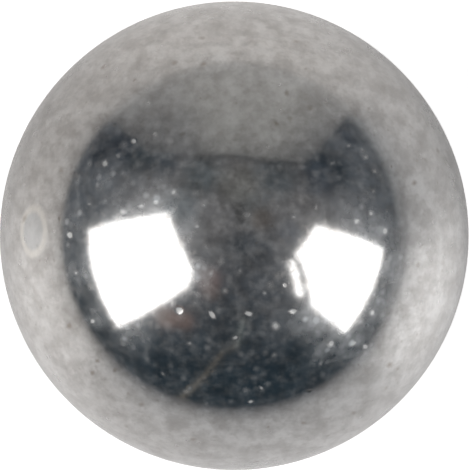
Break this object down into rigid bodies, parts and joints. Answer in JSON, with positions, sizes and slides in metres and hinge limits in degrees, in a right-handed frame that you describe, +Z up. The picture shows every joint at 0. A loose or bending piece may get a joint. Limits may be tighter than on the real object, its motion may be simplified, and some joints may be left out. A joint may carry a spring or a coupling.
{
  "type": "steel ball",
  "caption": "Solid polished steel ball, a plain true sphere with fine pits and dust from handling.",
  "frame": {"origin": "centre of the ball", "axes": "+Z up, away from the surface or seat that the ball rests on, and towards the viewer; +Y towards the picture's top and +X to its right, which only the finish tells apart"},
  "size_m": [0.02, 0.02, 0.02],
  "materials": {
    "polished_steel": "polished"
  },
  "bodies": {
    "root": {"ball": "polished_steel"}
  },
  "joints": []
}
